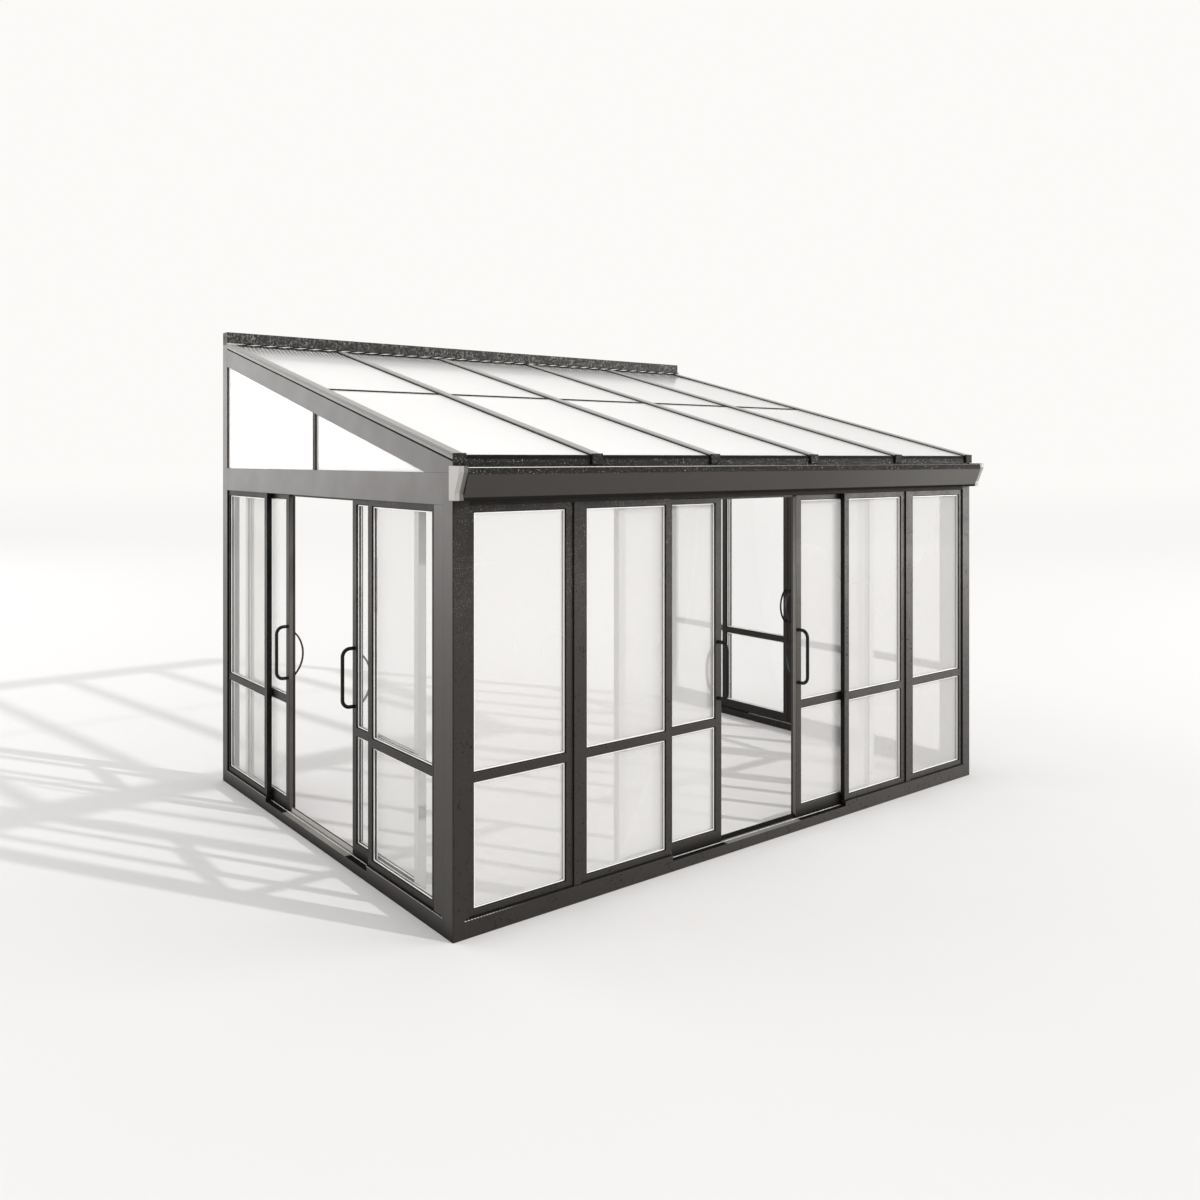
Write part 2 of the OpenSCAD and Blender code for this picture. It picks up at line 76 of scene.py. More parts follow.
# Studio: a pale seamless floor that keeps the sun's shadows near the building and melts
# into the off-white surroundings further off. A low sun stands to the front right, and a
# wide soft lamp behind on the left gives the side faces their sheen.
class Wire:
    """A socket of a node tree. Arithmetic on it adds Math nodes, and node() adds any other."""

    def __init__(self, tree, socket=None):
        self.tree, self.socket = tree, socket

    def node(self, kind, sets=None, ins=None, out=0):
        made = self.tree.nodes.new(kind)
        for key, value in (sets or {}).items():
            setattr(made, key, value)
        for key, value in (ins or {}).items():
            if isinstance(value, Wire):
                self.tree.links.new(value.socket, made.inputs[key])
            else:
                made.inputs[key].default_value = value
        return Wire(self.tree, made.outputs[out] if len(made.outputs) else None)

    def math(self, operation, *values, clamp=False):
        ins = dict(enumerate((self,) + values))
        return self.node("ShaderNodeMath", {"operation": operation, "use_clamp": clamp}, ins)

    def __add__(self, other): return self.math("ADD", other)
    def __radd__(self, other): return self.math("ADD", other)
    def __mul__(self, other): return self.math("MULTIPLY", other)
    def __rmul__(self, other): return self.math("MULTIPLY", other)
    def __sub__(self, other): return self.math("SUBTRACT", other)
    def __truediv__(self, other): return self.math("DIVIDE", other)

    def __rsub__(self, other):
        return self.node("ShaderNodeMath", {"operation": "SUBTRACT"}, {0: other, 1: self})

    def between(self, low, high):
        """0 under low, 1 over high, smooth between them."""
        return self.node("ShaderNodeMapRange", {"interpolation_type": "SMOOTHSTEP"},
                         {"Value": self, "From Min": low, "From Max": high})

    def blend(self, first, second):
        """Mixes two colours by this value."""
        return self.node("ShaderNodeMix", {"data_type": "RGBA"}, {0: self, 6: first, 7: second}, 2)

    def noise(self, scale, detail=3.0, roughness=0.5):
        """A noise of that scale over this vector."""
        ins = {"Vector": self, "Scale": scale, "Detail": detail, "Roughness": roughness}
        return self.node("ShaderNodeTexNoise", None, ins)

    def part(self, axis):
        """One component of this vector."""
        return self.node("ShaderNodeSeparateXYZ", None, {0: self}, axis)


def new_material(name):
    """An empty material, with its Object coordinates as a wire."""
    material = bpy.data.materials.new(name)
    material.use_nodes = True
    material.node_tree.nodes.clear()
    return material, Wire(material.node_tree).node("ShaderNodeTexCoord", out=3)


bpy.ops.mesh.primitive_circle_add(vertices=96, radius=260, fill_type="NGON", location=(0, 0, -0.001))
floor = bpy.context.object
floor.name = "floor"
floor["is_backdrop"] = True
material, place = new_material("studio_floor")
far = place.node("ShaderNodeVectorMath", {"operation": "LENGTH"}, {0: place}, 1)
melt = ((far - 5.0) / (far + 9.0)).math("MULTIPLY", 1.12, clamp=True)
lit = place.node("ShaderNodeBsdfDiffuse", None, {"Color": (0.872, 0.858, 0.850, 1)})
glow = place.node("ShaderNodeEmission", None, {"Color": (0.978, 0.960, 0.942, 1), "Strength": 1.0})
both = place.node("ShaderNodeMixShader", None, {0: melt, 1: lit, 2: glow})
place.node("ShaderNodeOutputMaterial", None, {"Surface": both})
floor.data.materials.append(material)

world = bpy.data.worlds.new("studio")
bpy.context.scene.world = world
world.use_nodes = True
world.node_tree.nodes.clear()
sky = Wire(world.node_tree)
seen = sky.node("ShaderNodeLightPath", out="Is Camera Ray")
for ray in ("Is Glossy Ray", "Is Transmission Ray"):
    seen = seen.math("MAXIMUM", sky.node("ShaderNodeLightPath", out=ray))
light = sky.node("ShaderNodeBackground", None, {"Color": (1, 0.995, 0.985, 1), "Strength": 0.72})
back = sky.node("ShaderNodeBackground", None, {"Color": (0.974, 0.956, 0.938, 1), "Strength": 1.0})
both = sky.node("ShaderNodeMixShader", None, {0: seen, 1: light, 2: back})
sky.node("ShaderNodeOutputWorld", None, {"Surface": both})


def lamp(name, kind, energy, place, toward):
    """A lamp at place that shines toward a point."""
    made = bpy.data.objects.new(name, bpy.data.lights.new(name, kind))
    bpy.context.scene.collection.objects.link(made)
    made.data.energy = energy
    made.location = place
    made.rotation_euler = (Vector(place) - Vector(toward)).to_track_quat("Z", "Y").to_euler()
    return made


sun = lamp("sun", "SUN", 1.42, (4.46, -7.42, 5.0), (0, 0, 0))
sun.data.angle = math.radians(1.4)
side = lamp("side_lamp", "AREA", 2850, (-16.5, 17.2, 5.4), (-2, 0, 2))
side.data.shape, side.data.size, side.data.size_y = "RECTANGLE", 22, 12
side.visible_camera = False
fill = lamp("fill_lamp", "AREA", 2900, (20, -14, 4.2), (2, 0, 1.5))
fill.data.shape, fill.data.size, fill.data.size_y = "RECTANGLE", 14, 8
fill.visible_camera = False


# Sills: extruded aluminium thresholds on the slab, powder coated in a warm dark grey. The
# coat is slightly orange-peeled, duller low down and darker there by painted shade, and
# mottled where rain runs off the eaves. Edges are eased.
def coat(place, dull=None, **ins):
    """Ends a material in one Principled shader, under a matt black coat where dull says so; dull carries both grime
    and painted shade.
    """
    shader = place.node("ShaderNodeBsdfPrincipled", None,
                        {key.replace("_", " "): value for key, value in ins.items()})
    if dull is not None:
        grime_and_shade = place.node("ShaderNodeBsdfDiffuse", None, {"Color": (0.014, 0.013, 0.012, 1)})
        shader = place.node("ShaderNodeMixShader", None, {0: dull, 1: shader, 2: grime_and_shade})
    place.node("ShaderNodeOutputMaterial", None, {"Surface": shader})


def powder_coat(name, tone, pale, rough, speckle=1.0, worn=None):
    """Powder coat of a dark tone. Weathered faces have pale specks and dark pits in patches,
    more of them towards the eaves. Flanks stay smooth. Painted shade darkens the coat low down,
    turns inside faces and the foot of a flank matt black, and darkens other faces towards the
    left and in a band under the eaves. worn() changes colour, metal, gloss and grime where it says."""
    material, place = new_material(name)
    height = place.part(2)
    flank_x = place.part(0).math("ABSOLUTE")
    smooth = flank_x.math("GREATER_THAN", 2.2485).math("MAXIMUM", place.part(1).math("GREATER_THAN", 1.736))
    patch = place.noise(5.5, 4.0, 0.6)
    grit = place.noise(120.0, 3.0, 0.8)
    peel = place.noise(420.0, 1.0)
    high = height.between(1.2, 2.32) * 0.9 + 0.1
    specks = grit.between(0.570, 0.62) * patch.between(0.60, 0.44) * high * (1 - smooth) * speckle
    pits = place.noise(75.0, 3.0, 0.7).between(0.585, 0.63) * patch.between(0.40, 0.54) * (1 - smooth)
    # Painted shade: the coat darkens towards the ground.
    low = 1 - height.between(0.05, 1.3)
    colour = (low * 0.45).blend(specks.blend(tone, pale), (0.010, 0.009, 0.008, 1))
    # Painted shade: faces deeper inside than the frame's front go mostly matt black.
    depth = (place.part(1) + 1.633).math("MINIMUM", 2.25 - flank_x)
    # Painted shade: the foot of a flank goes black.
    flank_foot_shade = (1 - height.between(-0.03, 0.11)) * smooth * 0.8
    # Painted shade: front faces darken towards the left and in a band under the eaves.
    painted_shade = (1 - place.part(0).between(-2.6, 1.4)) * 0.34 + height.between(1.6, 2.16) * 0.32
    grime_and_shade = flank_foot_shade.math("MAXIMUM", pits * 0.85 * speckle).math("MAXIMUM", depth.between(0.074, 0.088) * 0.75)
    grime_and_shade = grime_and_shade.math("MAXIMUM", painted_shade * (1 - smooth))
    gloss = patch * 0.14 + low * 0.06 + specks * 0.2 + (rough - 0.07)
    bump = place.node("ShaderNodeBump", None, {"Strength": 0.05, "Distance": 0.0005, "Height": peel})
    metal = 0.0
    if worn:
        colour, metal, gloss, grime_and_shade = worn(place, colour, gloss, grime_and_shade)
    coat(place, dull=grime_and_shade, Base_Color=colour, Roughness=gloss, Normal=bump, Metallic=metal,
         IOR=1.52, Specular_Tint=(1, 0.95, 0.91, 1))
    return material


def dress(names, material, width=0.0, angle=35):
    """Gives CAD nodes their material and eases their edges by a width."""
    for name in names:
        if not parts[name].material_slots:
            parts[name].data.materials.append(material)
        for held in parts[name].material_slots:
            held.material = material
        if width:
            weld = parts[name].modifiers.new("weld", "WELD")
            weld.merge_threshold = 0.0001
            bevel = parts[name].modifiers.new("ease", "BEVEL")
            bevel.width, bevel.segments = width, 2
            bevel.limit_method, bevel.angle_limit = "ANGLE", math.radians(angle)


grey, fleck = (0.011, 0.0085, 0.0070, 1), (0.30, 0.29, 0.26, 1)
paint = powder_coat("frame_paint", grey, fleck, 0.42)


def bare_tracks(place, colour, gloss, grime_and_shade):
    """Worn aluminium on a sill's tread and side fins in the doorway; painted shade makes the rest of the tread black.
    """
    across = place.part(0).math("ABSOLUTE")
    depth = (place.part(1) + 1.633).math("MINIMUM", 2.25 - across)
    height = place.part(2)
    low = height.math("GREATER_THAN", 0.0595) * height.math("LESS_THAN", 0.0880)
    track = low * depth.math("GREATER_THAN", 0.002)
    side_wall = across.math("GREATER_THAN", 2.15)
    way = side_wall * ((place.part(1) - 0.102).math("ABSOLUTE") - 0.148) + (1 - side_wall) * across
    walked = 1 - way.between(0.325, 0.345)
    fins = depth.math("GREATER_THAN", 0.0640)
    slot = depth.math("GREATER_THAN", 0.0675) * depth.math("LESS_THAN", 0.0765)
    bare = track * walked * (1 - slot) * (1 - fins * (1 - side_wall))
    brushed = place.noise(38.0, 5.0, 0.7).blend((0.18, 0.173, 0.163, 1), (0.31, 0.30, 0.285, 1))
    bare_fin = bare * fins
    colour = bare.blend(colour, bare_fin.blend(brushed, (0.42, 0.41, 0.39, 1)))
    # Painted shade: the tread outside the worn way goes matt black.
    return colour, bare * 0.35, bare * 0.12 + gloss, (track - bare).math("MAXIMUM", grime_and_shade * (1 - bare))


sills = powder_coat("sill_paint", grey, fleck, 0.42, 1.0, bare_tracks)
dress(("sill_front", "sill_left", "sill_right"), sills, 0.0008)

# Posts, corner fillers and mullions: box sections screwed down to the sills.
dress(("posts_front", "posts_rear", "uprights"), paint, 0.0012)

# Head and transoms: the wide beams that tie the posts and carry the sliding tracks.
def mottled(place, colour, gloss, grime_and_shade, fine=95.0, pale=(0.32, 0.31, 0.29, 1), low=0.56, high=0.65):
    """Rough pale speckles in uneven patches over the dark coat."""
    grit = place.noise(fine, 3.0, 0.8)
    patch = place.noise(9.0, 3.0, 0.6)
    specks = grit.between(low, high) * (patch.between(0.30, 0.62) * 0.75 + 0.25)
    pits = 1 - place.noise(fine * 0.6, 3.0, 0.8).between(0.38, 0.46)
    rough = specks.blend((0.006, 0.0055, 0.005, 1), pale)
    return (pits * 0.8).blend(rough, (0.004, 0.004, 0.004, 1)), 0.0, specks * 0.2 + 0.5, pits * 0.2 + (1 - specks) * 0.75


def rough_top(place, colour, gloss, grime_and_shade):
    """The coat goes rough above the gutter, where rain drips from the roof. Painted shade makes
    it black in the narrow band right under the gutter."""
    top = place.part(2).between(2.340, 2.350)
    # Painted shade: a black band under the gutter's foot on the front face.
    shade = (1 - place.part(2).between(2.190, 2.194)) * place.part(1).math("LESS_THAN", -1.6325) * 0.85
    rough, flat, dull, holes = mottled(place, colour, gloss, grime_and_shade)
    return top.blend(colour, rough), 0.0, gloss, grime_and_shade.math("MAXIMUM", top * holes).math("MAXIMUM", shade)


dress(("transom_left", "transom_right"), paint, 0.001)
dress(["head_front"], powder_coat("head_paint", grey, fleck, 0.42, 1.0, rough_top), 0.001)

# Fixed panels: mitred window frames set 10 mm back in their openings.
dress(("fixed_front", "fixed_left", "fixed_right"), paint, 0.0012)


# Joint seals: black rubber gaskets along the foot of each fixed panel, with the cut ends of a pile strip
# showing as small dashes just below, pale only at the far left as a painted highlight on the plinth's edge.
# White pile also edges the door tracks.
def solid(name, boxes, material, body="structure", ease=0.0):
    """A piece of plain boxes, each given by its lowest and highest corner."""
    mesh = bpy.data.meshes.new(name)
    shape = bmesh.new()
    for lo, hi in boxes:
        made = bmesh.ops.create_cube(shape, size=1.0)["verts"]
        for vert in made:
            vert.co = [hi[i] if vert.co[i] > 0 else lo[i] for i in range(3)]
    bmesh.ops.recalc_face_normals(shape, faces=shape.faces)
    shape.to_mesh(mesh)
    shape.free()
    mesh.materials.append(material)
    made = bpy.data.objects.new(name, mesh)
    bpy.context.scene.collection.objects.link(made)
    if ease:
        bevel = made.modifiers.new("ease", "BEVEL")
        bevel.width, bevel.segments, bevel.limit_method = ease, 2, "ANGLE"
    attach(made, body)
    return made


def row_group():
    """Geometry Nodes: small blocks in rows along lines."""
    group = bpy.data.node_groups.new("block_row", "GeometryNodeTree")
    for name, kind in (("Lines", "Geometry"), ("Pitch", "Float"), ("Size", "Vector"),
                       ("Tilt", "Float"), ("Uneven", "Float"), ("Seed", "Int"), ("Finish", "Material")):
        group.interface.new_socket(name, in_out="INPUT", socket_type="NodeSocket" + kind)
    group.interface.new_socket("Blocks", in_out="OUTPUT", socket_type="NodeSocketGeometry")
    begin = group.nodes.new("NodeGroupInput")
    end = group.nodes.new("NodeGroupOutput")
    given = {socket.name: Wire(group, socket) for socket in begin.outputs if socket.name}
    line = given["Lines"].node("GeometryNodeMeshToCurve", None, {0: given["Lines"]})
    line = line.node("GeometryNodeResampleCurve", {"mode": "LENGTH"}, {0: line, 3: given["Pitch"]})
    turn = line.node("FunctionNodeAlignRotationToVector", {"axis": "X"},
                     {2: line.node("GeometryNodeInputTangent")})
    lean = line.node("ShaderNodeCombineXYZ", None, {1: given["Tilt"]})
    turn = line.node("FunctionNodeRotateRotation", {"rotation_space": "LOCAL"},
                     {0: turn, 1: line.node("FunctionNodeEulerToRotation", None, {0: lean})})
    least = 1 - given["Uneven"]
    size = line.node("FunctionNodeRandomValue", {"data_type": "FLOAT"},
                     {2: least, 3: given["Uneven"] + 1, 8: given["Seed"]}, 1)
    scale = line.node("ShaderNodeCombineXYZ", None, {0: size, 1: 1.0, 2: 1.0})
    block = line.node("GeometryNodeMeshCube", None, {0: given["Size"]})
    line = line.node("GeometryNodeInstanceOnPoints", None, {0: line, 2: block, 5: turn, 6: scale})
    line = line.node("GeometryNodeRealizeInstances", None, {0: line})
    line = line.node("GeometryNodeSetMaterial", None, {0: line, 2: given["Finish"]})
    group.links.new(line.socket, end.inputs[0])
    return group


blocks = row_group()


def rows(name, lines, material, body="structure", **inputs):
    """A piece of small blocks in rows along lines, kept as a plain mesh."""
    mesh = bpy.data.meshes.new(name + "_lines")
    mesh.from_pydata([point for line in lines for point in line],
                     [(2 * i, 2 * i + 1) for i in range(len(lines))], [])
    guide = bpy.data.objects.new(name + "_lines", mesh)
    bpy.context.scene.collection.objects.link(guide)
    modifier = guide.modifiers.new("rows", "NODES")
    modifier.node_group = blocks
    inputs["Finish"] = material
    for item in blocks.interface.items_tree:
        if item.in_out == "INPUT" and item.name in inputs:
            modifier[item.identifier] = inputs[item.name]
    seen = guide.evaluated_get(bpy.context.evaluated_depsgraph_get())
    made = bpy.data.objects.new(name, bpy.data.meshes.new_from_object(seen))
    bpy.context.scene.collection.objects.link(made)
    bpy.data.objects.remove(guide)
    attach(made, body)
    return made


material, place = new_material("gasket_rubber")
tone_drift = place.noise(60.0)
coat(place, Base_Color=tone_drift.between(0.4, 0.8).blend((0.004, 0.004, 0.004, 1), (0.014, 0.014, 0.013, 1)),
     Roughness=tone_drift * 0.2 + 0.6, IOR=1.35, Specular_IOR_Level=0.15)
rubber = material
material, place = new_material("white_pile")
fluff = place.noise(300.0)
coat(place, Base_Color=fluff.blend((0.80, 0.79, 0.77, 1), (0.93, 0.92, 0.90, 1)), Roughness=fluff * 0.2 + 0.6)
pile = material
material, place = new_material("pile_dash_glint")
fluff = place.noise(300.0)
# Painted highlight: the dashes are pale at the far left and dark elsewhere.
glint_end = 1 - place.part(0).between(-2.08, -1.80)
coat(place, Base_Color=glint_end.blend((0.030, 0.024, 0.020, 1), (0.62, 0.60, 0.57, 1)), Roughness=fluff * 0.2 + 0.6)
dash_glint = material

front, rear, flank = -1.633, 1.645, 2.250
plinth, tread = 0.093, 0.060
joints = []
dashes = []
for side_x in (-1, 1):
    joints.append(((side_x * 2.177, front), (side_x * 0.793, front)))
    joints.append(((side_x * flank, -1.52), (side_x * flank, -0.670)))
    joints.append(((side_x * flank, 0.877), (side_x * flank, rear)))
seals = []
for (ax, ay), (bx, by) in joints:
    if ay == by:
        seals.append(((min(ax, bx), front - 0.0004, plinth - 0.0002), (max(ax, bx), front + 0.0115, plinth + 0.0065)))
        dashes.append(((ax, front - 0.0002, plinth - 0.003), (bx, front - 0.0002, plinth - 0.003)))
    else:
        out = math.copysign(0.0004, ax)
        inner = ax - math.copysign(0.0115, ax)
        seals.append(((min(ax + out, inner), min(ay, by), plinth - 0.0002),
                      (max(ax + out, inner), max(ay, by), plinth + 0.0065)))
        dashes.append(((ax + out / 2, ay, plinth - 0.003), (ax + out / 2, by, plinth - 0.003)))
for x0, x1 in ((-2.158, -2.156), (-1.5015, -1.5), (-1.453, -1.452), (1.452, 1.4535), (1.5, 1.5015), (2.152, 2.158)):
    seals.append(((x0, front + 0.0085, plinth + 0.004), (x1, front + 0.0112, 2.166)))
for x, skin in ((1.453, -0.0008), (2.158, -0.0008)):
    a, b = sorted((x, x + skin))
    seals.append(((a, front + 0.001, plinth + 0.004), (b, front + 0.011, 2.166)))
for side_x in (-1, 1):
    for edge, turn in ((-1.441, 1), (rear, -1)):
        a, b = sorted((edge, edge + turn * 0.005))
        out, deep = sorted((side_x * (flank - 0.0010), side_x * (flank - 0.0112)))
        seals.append(((out, a, plinth + 0.004), (deep, b, 2.166)))
    for y, turn in ((-0.670, 1), (0.877, -1)):
        a, b = sorted((y, y + turn * 0.0008))
        out, deep = sorted((side_x * (flank - 0.0103), side_x * (flank - 0.0437)))
        seals.append(((out, a, plinth + 0.004), (deep, b, 2.164)))
    a, b = sorted((side_x * 0.782, side_x * 0.7812))
    seals.append(((a, front + 0.0103, plinth + 0.004), (b, front + 0.0437, 2.164)))
solid("panel_joint_gaskets", seals, rubber)
rows("panel_joint_pile", dashes, dash_glint, Pitch=0.018, Size=(0.0095, 0.0012, 0.0028), Tilt=0.0, Uneven=0.25, Seed=3)
tracks = [((-0.787, front + 0.042, tread + 0.002), (0.787, front + 0.042, tread + 0.002))]
for side_x in (-1, 1):
    edge = side_x * (flank - 0.042)
    tracks.append(((edge, -0.665, tread + 0.002), (edge, 0.872, tread + 0.002)))
rows("track_pile", tracks, pile, Pitch=0.014, Size=(0.009, 0.002, 0.004), Tilt=0.0, Uneven=0.25, Seed=5)


# Wall glazing: sealed units held by pale vinyl beads, with a white film on the glass as painted reflection of the
# pale surroundings.
def glazing(name, tone, alpha, rough, shine=0.25, mirror=0.35):
    """Glass with a white film that is a painted reflection of the pale surroundings: part white film, part clear,
    with more film at grazing angles and on the panes next to the house.
    """
    material, place = new_material(name)
    haze = place.noise(0.8, 2.0)
    worn = tuple(0.96 * part for part in tone[:3]) + (1,)
    # Painted reflection: the white film thickens at grazing angles.
    painted_reflection = place.node("ShaderNodeFresnel", None, {"IOR": 1.45}) * mirror
    film = place.part(1).between(0.80, 0.90) * 0.15
    coat(place, Base_Color=haze.between(0.3, 0.7).blend(tone, worn), Specular_IOR_Level=shine,
         Roughness=haze * 0.03 + rough, Alpha=painted_reflection + film + haze * 0.06 + (alpha - 0.05), IOR=1.5)
    return material


def panes(name):
    """The lowest and highest corner of each separate pane of a glass node."""
    shape = bmesh.new()
    shape.from_mesh(parts[name].data)
    bmesh.ops.remove_doubles(shape, verts=shape.verts, dist=0.0001)
    found, left = [], set(shape.verts)
    while left:
        stack = [left.pop()]
        points = []
        while stack:
            vert = stack.pop()
            points.append(vert.co.copy())
            for edge in vert.link_edges:
                other = edge.other_vert(vert)
                if other in left:
                    left.remove(other)
                    stack.append(other)
        found.append(([min(p[i] for p in points) for i in range(3)],
                      [max(p[i] for p in points) for i in range(3)]))
    shape.free()
    return sorted(found)


def rims(name, width, depth, inset=0.0):
    """Boxes round the edge of each upright pane, on both of its faces."""
    made = []
    for lo, hi in panes(name):
        thin = 1 if hi[1] - lo[1] < 0.05 else 0
        wide = 1 - thin
        for axis in (wide, 2):
            lo[axis], hi[axis] = lo[axis] + inset, hi[axis] - inset
        for face, out in ((lo[thin], -depth), (hi[thin], depth)):
            near, far = sorted((face, face + out))
            for w0, w1, z0, z1 in (
                    (lo[wide], hi[wide], lo[2], lo[2] + width),
                    (lo[wide], hi[wide], hi[2] - width, hi[2]),
                    (lo[wide], lo[wide] + width, lo[2] + width, hi[2] - width),
                    (hi[wide] - width, hi[wide], lo[2] + width, hi[2] - width)):
                a, b = [0, 0, z0], [0, 0, z1]
                a[thin], b[thin] = near, far
                a[wide], b[wide] = w0, w1
                made.append((a, b))
    return made


material, place = new_material("glazing_bead")
chalk = place.noise(40.0)
coat(place, Base_Color=chalk.blend((0.78, 0.77, 0.75, 1), (0.90, 0.89, 0.87, 1)), Roughness=chalk * 0.15 + 0.3)
vinyl = material
front_clear = glazing("front_glass", (0.81, 0.80, 0.79, 1), 0.31, 0.0)
side_clear = glazing("side_glass", (0.95, 0.94, 0.93, 1), 0.09, 0.0, 0.05, 0.1)
front_units = ("fixed_front", "leaf_front_left", "leaf_front_right")


def glaze(name, body):
    """Clear glass in a frame, with a black gasket and a pale bead round each pane."""
    dress([name + "_glass"], front_clear if name in front_units else side_clear)
    parts[name + "_glass"].visible_shadow = False
    solid(name + "_pane_gaskets", rims(name + "_glass", 0.0035, 0.0065), rubber, body, 0.0008)
    solid(name + "_beads", rims(name + "_glass", 0.0060, 0.0045, 0.0035), vinyl, body, 0.001)


for name in ("fixed_front", "fixed_left", "fixed_right"):
    glaze(name, "structure")

# Sliding leaves: slimmer frames that run on nylon shoes over the two fins of each sill,
# with the same beads, a pale brush seal down each meeting stile and bent black pulls.
leaves = ("leaf_front_left", "leaf_front_right", "leaf_left_front", "leaf_left_rear",
          "leaf_right_front", "leaf_right_rear")
material, place = new_material("handle_enamel")
wear = place.noise(35.0, 4.0)
coat(place, Base_Color=wear.between(0.35, 0.75).blend((0.003, 0.003, 0.003, 1), (0.007, 0.006, 0.006, 1)),
     Roughness=wear * 0.15 + 0.30, IOR=1.4, Specular_IOR_Level=0.3)
enamel = material


def shaded_foot(place, colour, gloss, grime_and_shade):
    """Painted shade: the lower rail goes black towards the track it sits low in."""
    foot_shade = 1 - place.part(2).between(0.060, 0.150)
    return colour, 0.0, gloss, grime_and_shade.math("MAXIMUM", foot_shade * 0.9)


leaf_paint = powder_coat("leaf_paint", grey, fleck, 0.38, 0.7, shaded_foot)
dress(leaves, leaf_paint, 0.0012)
edge_sheen = powder_coat("leaf_edge_sheen", (0.17, 0.16, 0.15, 1), (0.26, 0.25, 0.235, 1), 0.35, 0.3)
material, place = new_material("cover_strip")
felt = place.noise(200.0)
coat(place, Base_Color=felt.blend((0.46, 0.45, 0.44, 1), (0.56, 0.55, 0.54, 1)), Roughness=felt * 0.1 + 0.6)
cover = material
for name in leaves:
    glaze(name, name)
    dress([name + "_handle"], enamel)
    for face in parts[name + "_handle"].data.polygons:
        face.use_smooth = True
    lo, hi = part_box(name)
    pull_lo, pull_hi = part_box(name + "_handle")
    along = 0 if hi[0] - lo[0] > hi[1] - lo[1] else 1
    across = 1 - along
    near = pull_lo[along] - lo[along] < hi[along] - pull_hi[along]
    edge = lo[along] if near else hi[along]
    skin = -0.0003 if near else 0.0003
    outer, inner = (lo[across], hi[across]) if lo[across] < 0 else (hi[across], lo[across])
    depth = inner - outer
    # Painted sheen: two lighter strips down the leading edge, with a dark line between them, stand in for the light
    # on that edge.
    strips = []
    for start, stop in ((0.06, 0.62), (0.80, 0.96)):
        a, b = [0, 0, lo[2] + 0.004], [0, 0, hi[2] - 0.004]
        a[along], b[along] = sorted((edge, edge + skin))
        a[across], b[across] = sorted((outer + depth * start, outer + depth * stop))
        strips.append((a, b))
    solid(name + "_edge_strips", strips, edge_sheen, name)
    a, b = [0, 0, lo[2] + 0.020], [0, 0, hi[2] - 0.020]
    far, turn = (hi[along], -0.050) if near else (lo[along], 0.050)
    a[along], b[along] = sorted((far, far + turn))
    c, d = list(a), list(b)
    a[across], b[across] = sorted((outer, outer + math.copysign(0.0005, outer)))
    c[along], d[along] = sorted((far, far - math.copysign(0.0005, turn)))
    c[across], d[across] = sorted((outer + depth * 0.02, outer + depth * 0.98))
    solid(name + "_cover_strips", [(a, b), (c, d)], cover, name)

# Gable frames and glass: raked lights over the side transoms.
dress(("gable_left", "gable_right"), paint, 0.001)
# Painted reflection: this glass has the same white film.
pale = glazing("gable_glass", (0.93, 0.925, 0.92, 1), 0.66, 0.02)
dress(["gable_glass"], pale)
parts["gable_glass"].visible_shadow = False

# Wall plate: rough-coated bearer bolted to the house wall, with a stepped flashing under
# its front edge.


def coarse(place, colour, gloss, grime_and_shade):
    """The same in bigger blotches on the wall plate, over a pale bead of sealant at its foot."""
    rough, flat, dull, holes = mottled(place, colour, gloss, grime_and_shade, 48.0, (0.19, 0.185, 0.178, 1), 0.46, 0.60)
    bead = place.part(2).math("GREATER_THAN", 3.2440) * (1 - place.part(2).between(3.2515, 3.2545))
    bead = bead * place.part(1).math("LESS_THAN", 1.6470)
    back = place.part(1).math("GREATER_THAN", 1.736)
    worn = back.blend(bead.blend(rough, (0.62, 0.61, 0.59, 1)), colour)
    return worn, 0.0, dull, holes * (1 - bead) * (1 - back) * 0.7


dress(["wall_plate"], powder_coat("plate_paint", grey, fleck, 0.5, 1.0, coarse), 0.002)
rows("plate_flashing", [((-2.13, rear - 0.020, 3.2438), (2.17, rear - 0.020, 3.2438))],
     rubber, Pitch=0.118, Size=(0.142, 0.012, 0.008), Tilt=-0.150, Uneven=0.04, Seed=11)

# Rafters under the roof bars.
dress(["rafters"], paint, 0.001)

# Roof glass on black gaskets.
dress(["gaskets"], rubber)
milky, place = new_material("roof_glass")
haze = place.noise(0.8, 2.0)
# Painted reflection: a dotted grey band near the wall plate stands in for the plate's reflection.
dots = (place.part(0) * 200.0).math("SINE") * (place.part(1) * 50.0).math("SINE")
band = place.part(1).between(1.22, 1.56)
plate_reflection = (dots.between(-0.1, 0.4) * 0.85 + 0.15) * band * 0.9
# The glass goes greyer towards the right, with a little uneven tone.
tone_drift = place.part(0).between(-2.0, 2.6) * 0.85 + haze * 0.1
coat(place, Base_Color=plate_reflection.blend(tone_drift.blend((0.95, 0.94, 0.93, 1), (0.74, 0.73, 0.72, 1)), (0.12, 0.115, 0.11, 1)),
     Roughness=haze * 0.05 + 0.12, Alpha=haze * 0.06 + 0.86, IOR=1.5, Specular_IOR_Level=0.25)
dress(["roof_glass"], milky)
parts["roof_glass"].visible_shadow = False

# Roof caps: low pressed bars that clamp the roof glass, in a lighter grey than the walls.
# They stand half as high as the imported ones, so their own pieces take those nodes' place.
rise, foot_z = 0.8195 / 3.278, 2.415
over, rear_u = 0.013, rear - front


